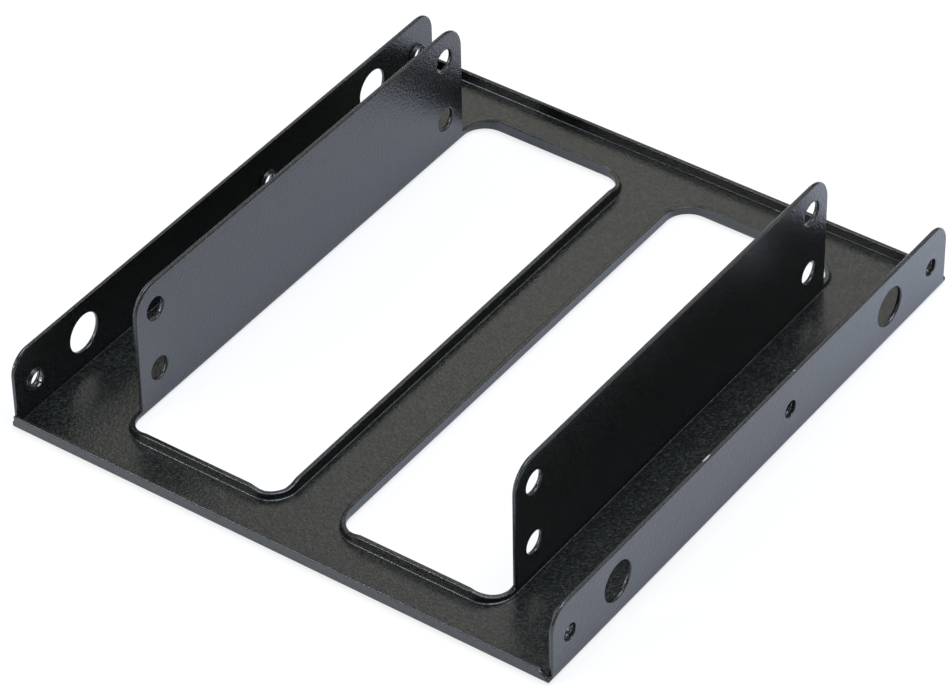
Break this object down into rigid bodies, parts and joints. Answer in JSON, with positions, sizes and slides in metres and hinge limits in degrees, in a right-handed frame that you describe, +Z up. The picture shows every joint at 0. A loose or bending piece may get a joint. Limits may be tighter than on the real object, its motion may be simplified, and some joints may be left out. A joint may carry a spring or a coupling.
{
  "type": "drive bay adapter bracket",
  "caption": "Folded steel bracket that holds small storage drives between its inner walls and screws into a wider drive bay.",
  "frame": {"origin": "middle of the underside of the base", "axes": "+X across the bay to the right, +Y to the back along the walls, +Z up, the way the flanges and walls stand"},
  "size_m": [0.1016, 0.1128, 0.0245],
  "materials": {
    "coated_steel": "satin black powder coat with a fine grain"
  },
  "bodies": {
    "root": {"bracket": "coated_steel"}
  },
  "joints": []
}
